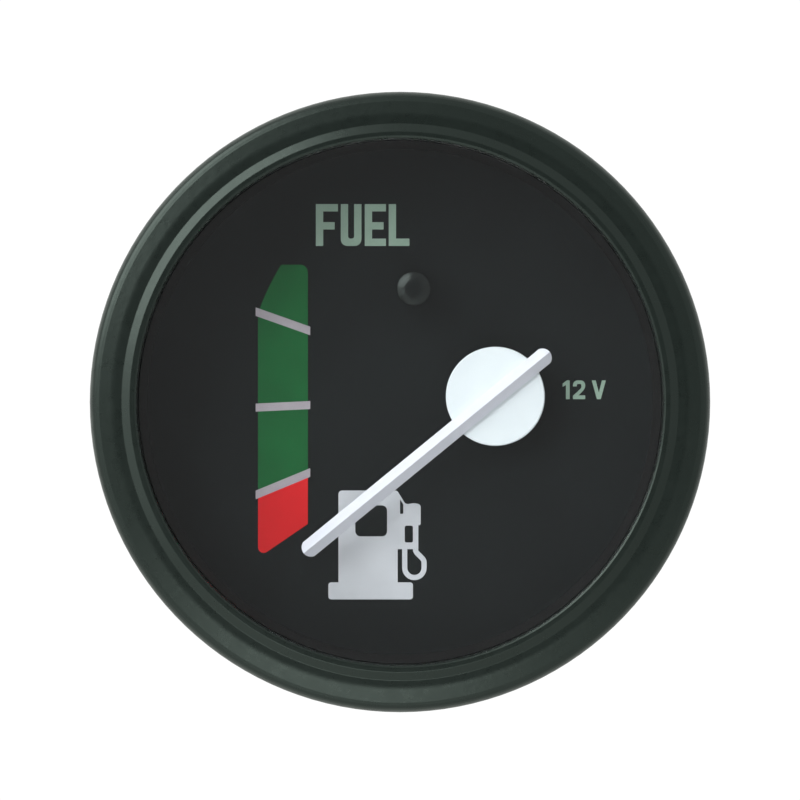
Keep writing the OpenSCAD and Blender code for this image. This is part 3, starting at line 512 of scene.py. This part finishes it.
# %% Finishes on the solids
finishes = {
    "bezel_enamel": bezel_enamel, "clear_glass": clear_glass, "black_rubber": black_rubber,
    "plated_steel": drawn_zinc, "black_plastic": black_plastic, "dial_paint": dial_paint,
    "green_print": green_print, "red_print": red_print, "grey_print": grey_print,
    "bright_steel": bright_steel, "soft_iron": soft_iron, "nylon": nylon, "copper": copper,
    "lead_sleeve": lead_sleeve, "brass": brass, "white_plastic": white_plastic,
    "white_aluminium": white_aluminium, "phenolic": phenolic,
}
worked_otherwise = {
    "clamp_bracket": rolled_zinc, "empty_winding": empty_wire, "full_winding": full_wire,
}
for subpart in frame["record"]["subparts"]:
    name = subpart["node"]
    skins = nodes[name].data.materials
    skins.clear()
    skins.append(worked_otherwise.get(name, finishes[subpart["material_slot"]]))
print(len(finishes) + len(worked_otherwise), "finishes on", len(nodes), "solids")

# %% [markdown]
# ## From a bmesh to a piece
#
# Every new piece below ends the same way: its normals are made to point outwards, it becomes an
# object at the origin, it gets a finish, and it is told which body it rides on. The count of open
# edges is printed, because a shape with a gap has no inside, and a printer or a simulator needs
# one.

# %% Helper for pieces
def finish_piece(shape, name, material, body):
    """Turn a bmesh into a piece that rides on a body."""
    bmesh.ops.recalc_face_normals(shape, faces=shape.faces[:])
    gaps = sum(not edge.is_manifold for edge in shape.edges)
    mesh = bpy.data.meshes.new(name)
    shape.to_mesh(mesh)
    shape.free()
    mesh.materials.append(material)
    piece = add_object(name, mesh)
    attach(piece, body)
    print(name, len(mesh.polygons), "faces,", gaps, "open edges")
    return piece


# %% [markdown]
# ## Printing the dial
#
# A print could be an image or a text object. An image would be lost when the part is repainted,
# and a font has its own widths, while the letters on a dial are narrow blocks. So each letter is a
# flat outline of a few corners, some of them rounded by a vertex bevel. Outlines that lie inside
# others become holes when a triangle fill closes them, and an extrusion gives the ink its
# thickness.

# %% Helpers for print
INK = 0.06               # thickness of the ink, drawn a little thicker than the real film, in mm
ROUNDING_STEPS = 5       # straight bits in a rounded corner

dial_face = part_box("dial")[0].y


def add_outline(shape, corners, shift=(0, 0)):
    """An outline through these corners, each across and up in mm, with a radius or without."""
    rounded = {}
    points = []
    for across, up, *radius in corners:
        point = shape.verts.new(((across + shift[0]) * MM, 0, (up + shift[1]) * MM))
        points.append(point)
        if radius:
            rounded.setdefault(radius[0], []).append(point)
    shape.faces.new(points)
    for radius, turns in rounded.items():
        bmesh.ops.bevel(
            shape, geom=turns, offset=radius * MM, offset_type="OFFSET",
            segments=ROUNDING_STEPS, profile=0.5, material=-1, affect="VERTICES",
            clamp_overlap=True)


def fill_outlines(shape):
    """Swap the outlines' own faces for a fill that leaves the inner ones open."""
    bmesh.ops.delete(shape, geom=shape.faces[:], context="FACES_ONLY")
    bmesh.ops.triangle_fill(shape, use_beauty=True, edges=shape.edges[:], normal=(0, -1, 0))


def print_ink(shape, name, ink):
    """Give flat faces the thickness of ink and lay them on the dial."""
    film = bmesh.ops.extrude_face_region(shape, geom=shape.faces[:])["geom"]
    front = [point for point in film if isinstance(point, bmesh.types.BMVert)]
    bmesh.ops.translate(shape, verts=front, vec=(0, -INK * MM, 0))
    bmesh.ops.translate(shape, verts=shape.verts[:], vec=(0, dial_face, 0))
    finish_piece(shape, name, ink, "instrument")


def print_line(name, signs, starts, place, ink):
    """Print signs in a line that begins at place. A start is how far along it a sign begins."""
    shape = bmesh.new()
    for sign, start in zip(signs, starts):
        add_outline(shape, sign, (place[0] + start, place[1]))
    fill_outlines(shape)
    print_ink(shape, name, ink)


print(f"the dial's face lies at y = {dial_face / MM:.2f} mm")

# %% [markdown]
# The word says what the instrument measures, in plain block capitals 4.45 mm high. The strokes are
# 0.78 mm wide, and the letters stand close together.

# %% The word
STROKE = 0.78
TALL = 4.45
BAR = 1.75                     # height of the middle bars of F and E
WORD_PLACE = (-8.95, 16.6)     # across and up from the middle of the dial, in mm
WORD_STARTS = (0, 2.65, 5.2, 7.75)

letter_f = [
    (0, 0), (STROKE, 0), (STROKE, BAR), (2.0, BAR), (2.0, BAR + STROKE),
    (STROKE, BAR + STROKE), (STROKE, TALL - STROKE), (2.35, TALL - STROKE), (2.35, TALL),
    (0, TALL)]
letter_u = [
    (0, TALL), (0, 0, 0.7), (2.2, 0, 0.7), (2.2, TALL), (2.2 - STROKE, TALL),
    (2.2 - STROKE, STROKE, 0.25), (STROKE, STROKE, 0.25), (STROKE, TALL)]
letter_e = [
    (0, 0), (2.25, 0), (2.25, STROKE), (STROKE, STROKE), (STROKE, BAR), (2.0, BAR),
    (2.0, BAR + STROKE), (STROKE, BAR + STROKE), (STROKE, TALL - STROKE),
    (2.25, TALL - STROKE), (2.25, TALL), (0, TALL)]
letter_l = [(0, 0), (2.2, 0), (2.2, STROKE), (STROKE, STROKE), (STROKE, TALL), (0, TALL)]

print_line(
    "fuel_word", (letter_f, letter_u, letter_e, letter_l), WORD_STARTS, WORD_PLACE, word_print)

# %% [markdown]
# Right of the hub a dial of this kind carries a small plain mark. Here it is the supply voltage,
# in characters 2 mm high.

# %% The voltage
MARK_STROKE = 0.4
MARK_TALL = 2.0
MARK_PLACE = (17.3, 0.3)
MARK_STARTS = (0, 1.1, 3.1)

digit_one = [
    (0.35, 0), (0.75, 0), (0.75, MARK_TALL), (0.45, MARK_TALL), (0, 1.65), (0, 1.3), (0.35, 1.5)]
digit_two = [
    (0, 0), (1.3, 0), (1.3, MARK_STROKE), (0.6, MARK_STROKE), (1.3, 1.15, 0.3),
    (1.3, MARK_TALL, 0.5), (0, MARK_TALL, 0.5), (0, 1.35), (MARK_STROKE, 1.35),
    (MARK_STROKE, 1.62, 0.15), (0.9, 1.62, 0.15), (0.9, 1.2, 0.15), (0, 0.35)]
letter_v = [
    (0.55, 0), (0.95, 0), (1.5, MARK_TALL), (1.08, MARK_TALL), (0.75, 0.7), (0.42, MARK_TALL),
    (0, MARK_TALL)]

print_line(
    "voltage_mark", (digit_one, digit_two, letter_v), MARK_STARTS, MARK_PLACE, word_print)

# %% [markdown]
# Beside the foot of the scale stands the common sign for fuel: a pump with its window, its foot,
# and a nozzle at its side. The silhouette is one outline, and the window and the gaps beside the
# nozzle are outlines inside it. The hose that hangs from the nozzle is a line of even width, so it
# is drawn as with a pen: an edge as wide as the hose is spun straight on or round a corner, move
# by move.

# %% The pump sign
HOSE = 0.55              # width of the hose, in mm
CORNER_STEP = 15         # how far one step of a corner turns, in degrees
HOSE_START = (0.5, -15.65)
DOWNWARDS = -90
HOSE_MOVES = [(0, 2.0), (180, 1.03), (0, 0.58), (45, 0.6), (0, 0.8), (-45, 0.6)]

pump_edge = [
    (-6.55, -9.42, 0.4), (-0.3, -9.42, 0.2), (0.6, -10.9, 0.3), (1.5, -10.75, 0.2),
    (2.2, -10.9, 0.3), (2.2, -13.1, 0.15), (1.95, -13.1), (1.95, -15.65), (-0.25, -15.65),
    (-0.25, -19.19), (1.38, -19.19, 0.3), (1.38, -21.0, 0.3), (-7.62, -21.0, 0.3),
    (-7.62, -19.19, 0.3), (-6.55, -19.19)]
pump_window = [
    (-4.76, -11.0, 0.55), (-1.37, -11.0, 0.55), (-1.37, -14.3, 0.55), (-4.76, -14.3, 0.55)]
nozzle_gap = [(0.0, -10.35), (0.35, -10.9), (0.35, -11.9, 0.1), (0.0, -11.9, 0.1)]
hose_gap = [(0.5, -13.15, 0.2), (1.38, -13.15, 0.2), (1.38, -14.95, 0.2), (0.5, -14.95, 0.2)]


def draw_hose(shape, start, heading, moves):
    """Draw a flat line. A move is an angle in degrees with a radius, or 0 with a length."""
    place = Vector((start[0], 0, start[1])) * MM
    heading = math.radians(heading)
    aside = Vector((-math.sin(heading), 0, math.cos(heading))) * HOSE / 2 * MM
    ends = [shape.verts.new(place + aside), shape.verts.new(place - aside)]
    front = [*ends, shape.edges.new(ends)]
    for angle, size in moves:
        ahead = Vector((math.cos(heading), 0, math.sin(heading)))
        aside = Vector((-ahead.z, 0, ahead.x))
        middle = place + aside * math.copysign(size * MM, angle)
        step = Vector((0, 0, 0)) if angle else ahead * size * MM
        front = bmesh.ops.spin(
            shape, geom=front, cent=middle, axis=(0, -1, 0), dvec=step,
            angle=math.radians(angle), steps=max(1, abs(angle) // CORNER_STEP))["geom_last"]
        points = [point.co for point in front if isinstance(point, bmesh.types.BMVert)]
        place = (points[0] + points[1]) / 2
        heading += math.radians(angle)
    print(f"the hose ends at {place.x / MM:.2f}, {place.z / MM:.2f}")


pump = bmesh.new()
for outline in (pump_edge, pump_window, nozzle_gap, hose_gap):
    add_outline(pump, outline)
fill_outlines(pump)
draw_hose(pump, HOSE_START, DOWNWARDS, HOSE_MOVES)
print_ink(pump, "pump_sign", pale_print)

# %% [markdown]
# ## The stop's sleeve
#
# The pointer's upper stop is a steel pin in a black rubber sleeve. The real sleeve is moulded with
# a wide bevel round its end, and on the side of the light this bevel shines as a crescent, which
# is all that one sees of the post. So the sleeve is turned anew: its profile is spun once round
# the pin's axis, and the points that meet are merged.

# %% The sleeve
BEVEL = 0.75             # width of the bevel, in mm
BEVEL_DROP = 0.36        # how far it falls back over that width
SOFT_EDGE = 0.08         # width of the rounding beyond it
SOFT_DROP = 0.12         # how far that falls back
PRESS_GAP = 0.01         # between the pin and its hole
ROUND_STEPS = 48         # flats round a turned piece
SAME_POINT = 0.0005      # points nearer to each other than this are one

sleeve_low, sleeve_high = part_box("stop_sleeve")
pin_low, pin_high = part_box("stop_pin")
pin_axis = ((pin_low.x + pin_high.x) / 2, (pin_low.z + pin_high.z) / 2)
sleeve_r = (sleeve_high.x - sleeve_low.x) / 2 / MM
hole_r = (pin_high.x - pin_low.x) / 2 / MM + PRESS_GAP
sleeve_front = sleeve_low.y / MM
sleeve_back = sleeve_high.y / MM
bevel_back = sleeve_front + BEVEL_DROP
pin_end = pin_low.y / MM


def add_profile(shape, points, axis=(0, 0)):
    """Edges through points beside an axis along Y. A point is off and along the axis, in mm."""
    corners = [
        shape.verts.new((axis[0] + off * MM, along * MM, axis[1])) for off, along in points]
    edges = [shape.edges.new(pair) for pair in zip(corners, corners[1:])]
    return corners + edges


def turn_profile(shape, profile, axis=(0, 0)):
    """Spin a profile once round its axis, as on a lathe, and merge the points that meet."""
    bmesh.ops.spin(
        shape, geom=profile, cent=(axis[0], 0, axis[1]), axis=(0, 1, 0), angle=math.tau,
        steps=ROUND_STEPS, use_merge=True)
    bmesh.ops.remove_doubles(shape, verts=shape.verts[:], dist=SAME_POINT * MM)


sleeve = bmesh.new()
sleeve_profile = add_profile(sleeve, [
    (0, sleeve_front), (sleeve_r - BEVEL - SOFT_EDGE, sleeve_front),
    (sleeve_r - SOFT_EDGE, bevel_back), (sleeve_r, bevel_back + SOFT_DROP),
    (sleeve_r, sleeve_back), (hole_r, sleeve_back), (hole_r, pin_end), (0, pin_end)], pin_axis)
turn_profile(sleeve, sleeve_profile, pin_axis)
bevelled = finish_piece(sleeve, "bevelled_sleeve", black_rubber, "instrument")
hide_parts("stop_sleeve")
print(f"the bevel stands at {math.degrees(math.atan2(BEVEL_DROP, BEVEL)):.0f} degrees")

# %% [markdown]
# ## The stud's thread
#
# The stud that the clamp hangs on is M5: 0.8 mm from crest to crest. A thread could be faked with
# a bump, but its zigzag shows against the light, so it is cut for real. One tooth's profile, a
# pitch long, is spun up the stud. Its end meets the start of the next turn, so merging doubles
# joins all turns into one skin.

# %% The thread's turns
PITCH = 0.8
CREST = 2.5              # radius of the crests
CREST_FLAT = 0.1         # length of the flat on a crest
ROOT = 2.04              # radius of the roots
ROOT_FLAT = 0.17         # length of the flat in a root
TURN_STEPS = 24          # steps in one turn of the thread
SPARE_TURNS = 2          # turns that the planes cut off again
TURN_JOIN = 0.003        # points of two turns that are nearer than this are one
NUT_GAP = 0.3            # between the nut and the thread

stud_low, stud_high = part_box("clamp_stud")
stud_end = stud_high.y / MM
thread_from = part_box("stud_nut")[1].y / MM + NUT_GAP
turns = math.ceil((stud_end - thread_from) / PITCH) + SPARE_TURNS

thread = bmesh.new()
tooth_from = thread_from - PITCH
tooth_middle = tooth_from + PITCH / 2
tooth = add_profile(thread, [
    (ROOT, tooth_from), (ROOT, tooth_from + ROOT_FLAT / 2), (CREST, tooth_middle - CREST_FLAT / 2),
    (CREST, tooth_middle + CREST_FLAT / 2), (ROOT, tooth_from + PITCH - ROOT_FLAT / 2),
    (ROOT, tooth_from + PITCH)])
bmesh.ops.spin(
    thread, geom=tooth, cent=(0, 0, 0), axis=(0, 1, 0), dvec=(0, PITCH / TURN_STEPS * MM, 0),
    angle=turns * math.tau, steps=turns * TURN_STEPS)
bmesh.ops.remove_doubles(thread, verts=thread.verts[:], dist=TURN_JOIN * MM)
print(turns - SPARE_TURNS, "turns of thread and", SPARE_TURNS, "to spare")

# %% [markdown]
# The skin's two ends still follow the spin's slope. So planes cut it off square, where the plain
# shank begins and at the stud's end, and the cuts are filled. The last half millimetre is pressed
# in to a chamfer, by keeping each point inside a cone.

# %% The thread's ends
CHAMFER = 0.5
ON_PLANE = 0.0001        # a point nearer to a plane than this lies on it

for cut, side in ((thread_from, -1), (stud_end, 1)):
    everything = thread.verts[:] + thread.edges[:] + thread.faces[:]
    bmesh.ops.bisect_plane(
        thread, geom=everything, dist=ON_PLANE * MM, plane_co=(0, cut * MM, 0),
        plane_no=(0, side, 0), clear_outer=True)
bmesh.ops.holes_fill(thread, edges=[edge for edge in thread.edges if edge.is_boundary], sides=0)
for point in thread.verts:
    reach = math.hypot(point.co.x, point.co.z)
    limit = (CREST - CHAMFER) * MM + (stud_high.y - point.co.y)
    if reach > limit:
        point.co.x *= limit / reach
        point.co.z *= limit / reach
print(f"the thread runs from y = {thread_from:.2f} to y = {stud_end:.2f} mm")

# %% [markdown]
# The head and the plain shank are turned in the same bmesh, as the sleeve was: one profile, spun
# once round the stud's axis. The shank ends on the plane where the thread was cut off.

# %% The head and the shank
GRIP = 2.25              # radius of the shank in the case and the thin nut
HEAD = 4.5               # radius of the head
HEAD_THICK = 1.2
HEAD_EDGE = 0.3          # length of both bevels on the head's edge, and width of the front one
BACK_EDGE = 0.2          # width of the back one

head_front = stud_low.y / MM
head_back = head_front + HEAD_THICK

shank = add_profile(thread, [
    (0, head_front), (HEAD - HEAD_EDGE, head_front), (HEAD, head_front + HEAD_EDGE),
    (HEAD, head_back - HEAD_EDGE), (HEAD - BACK_EDGE, head_back), (GRIP, head_back),
    (GRIP, thread_from), (0, thread_from)])
turn_profile(thread, shank)
stud = finish_piece(thread, "threaded_stud", bright_steel, "instrument")
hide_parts("clamp_stud")
print(f"the head is {2 * HEAD:.0f} mm wide")

# %% [markdown]
# ## Inside the lamp
#
# The little bulb is clear, so its filament shows: a fine coil of tungsten between two wires. The
# coil is a small ring of points spun round the coil's axis while it moves along it, and the wires
# are two thin rods that stand in the cap.

# %% Filament and its wires
FILAMENT_WIRE = 0.06     # radius of the filament's own wire, in mm
FILAMENT_SIDES = 8
FILAMENT_COIL = 0.28     # radius of the coil
FILAMENT_PITCH = 0.22
FILAMENT_TURNS = 11
COIL_STEPS = 12          # steps in one turn of the coil
FILAMENT_IN = 4.2        # from the tip of the glass to the filament
WIRE = 0.16              # radius of the two wires
WIRE_SIDES = 12
WIRE_IN_CAP = 2          # how far they reach into the cap
ALONG_Y = Matrix.Rotation(math.radians(90), 4, "X")

bulb_low, bulb_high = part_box("bulb_glass")
bulb_x = (bulb_low.x + bulb_high.x) / 2
filament_y = bulb_low.y + FILAMENT_IN * MM
filament_half = FILAMENT_TURNS * FILAMENT_PITCH / 2 * MM
steps = FILAMENT_TURNS * COIL_STEPS

filament = bmesh.new()
bmesh.ops.create_circle(
    filament, cap_ends=True, segments=FILAMENT_SIDES, radius=FILAMENT_WIRE * MM,
    matrix=Matrix.Translation((bulb_x + FILAMENT_COIL * MM, filament_y, -filament_half)) @ ALONG_Y)
bmesh.ops.spin(
    filament, geom=filament.faces[:], cent=(bulb_x, filament_y, 0), axis=(0, 0, 1),
    dvec=(0, 0, 2 * filament_half / steps), angle=FILAMENT_TURNS * math.tau, steps=steps)
wire_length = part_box("bulb_cap")[0].y + WIRE_IN_CAP * MM - filament_y
wire_y = filament_y + wire_length / 2 - FILAMENT_COIL * MM
for end in (-filament_half, filament_half):
    bmesh.ops.create_cone(
        filament, cap_ends=True, segments=WIRE_SIDES, radius1=WIRE * MM, radius2=WIRE * MM,
        depth=wire_length, matrix=Matrix.Translation((bulb_x, wire_y, end)) @ ALONG_Y)
finish_piece(filament, "lamp_filament", soft_iron, "lamp")

# %% [markdown]
# ## The studio
#
# Catalogue pictures of instruments are taken on a pale table in very soft light, so that no shadow
# of the pointer falls on the dial. The floor is 600 mm below the gauge, far enough that the gauge
# throws no shadow on it that the camera could see. Behind everything is white.

# %% Floor and backdrop
FLOOR_DROP = 600
FLOOR_SIZE = 3.0         # half of its side, in metres

floor_mesh = bpy.data.meshes.new("floor")
shape = bmesh.new()
bmesh.ops.create_grid(
    shape, x_segments=1, y_segments=1, size=FLOOR_SIZE,
    matrix=Matrix.Translation((0, 0, -FLOOR_DROP * MM)))
shape.to_mesh(floor_mesh)
shape.free()
floor = add_object("floor", floor_mesh)
floor_paint, floor_tree, floor_surface, _ = start_material("pale_floor")
set_inputs(floor_tree, floor_surface, {"Base Color": hex_colour("#e8e8e6"), "Roughness": 0.8})
floor_mesh.materials.append(floor_paint)
print("floor", FLOOR_DROP, "mm below the gauge")

# %% [markdown]
# The world is the room round the table: a white tent, brighter behind the gauge than in front,
# with a dim opening for the camera. The tent lights the recessed dial evenly. The opening matters
# because flat glass mirrors only what is straight in front of it, so there the room must be dim
# for the dial to stay dark. Only the camera itself sees plain white.

# %% The room
OPENING = 0.2            # brightness of the opening
TENT = 0.72              # of the tent at the sides
BACK = 0.85              # of the tent behind the gauge
BACKDROP = 1.05          # of the white that the camera sees
OPENING_FADE = {"From Min": -0.96, "From Max": -0.84}   # here the opening fades into the tent
BACK_FADE = {"From Min": 0.0, "From Max": 0.6}          # here the tent fades into its back

scene = bpy.context.scene
scene.view_settings.view_transform = "Standard"
world = bpy.data.worlds.new("studio")
scene.world = world
world.use_nodes = True
tree = world.node_tree
direction = add_node(tree, "ShaderNodeTexCoord", {}).outputs["Generated"]
axes = add_node(tree, "ShaderNodeSeparateXYZ", {0: direction})
opening = add_node(tree, "ShaderNodeMapRange", {
    "Value": axes.outputs["Y"], **OPENING_FADE, "To Min": OPENING, "To Max": TENT})
behind = add_node(tree, "ShaderNodeMapRange", {
    "Value": axes.outputs["Y"], **BACK_FADE, "To Min": 0.0, "To Max": BACK - TENT})
tent = add_node(tree, "ShaderNodeMath", {
    0: opening.outputs[0], 1: behind.outputs[0]}, operation="ADD")
studio = tree.nodes["Background"]
set_inputs(tree, studio, {"Color": tent.outputs[0], "Strength": 1.0})
backdrop = add_node(tree, "ShaderNodeBackground", {"Color": (1, 1, 1, 1), "Strength": BACKDROP})
rays = add_node(tree, "ShaderNodeLightPath", {})
mix = add_node(tree, "ShaderNodeMixShader", {
    0: rays.outputs["Is Camera Ray"], 1: studio.outputs[0], 2: backdrop.outputs[0]})
tree.links.new(mix.outputs[0], tree.nodes["World Output"].inputs["Surface"])
print("tent", TENT, "with an opening of", OPENING)

# %% [markdown]
# A big soft box at the upper left is the brightest thing in the tent: being wide, it leaves no
# hard shadow, and it draws the bright line on the bezel's bead at the upper left. A low, dim one
# lights the lower part of the bezel, and a dim one at the left lets the bead's line fade out
# slowly there. All stand well off the camera's axis, so the flat glass mirrors none of them.

# %% Lights
def soft_box(name, place, width, height, power):
    """A soft box at a place, turned towards the gauge, in metres and watts."""
    lamp = bpy.data.lights.new(name, "AREA")
    lamp.shape = "RECTANGLE"
    lamp.size = width
    lamp.size_y = height
    lamp.energy = power
    holder = add_object(name, lamp)
    holder.location = place
    holder.rotation_euler = (-Vector(place)).to_track_quat("-Z", "Y").to_euler()


soft_box("key_light", (-0.7, -0.615, 0.58), width=0.9, height=0.9, power=10.2)
soft_box("low_light", (-0.12, -1.1, -0.45), width=0.5, height=0.35, power=1.5)
soft_box("left_light", (-0.86, -0.67, -0.16), width=0.45, height=0.6, power=0.8)
print("three soft boxes in the tent")
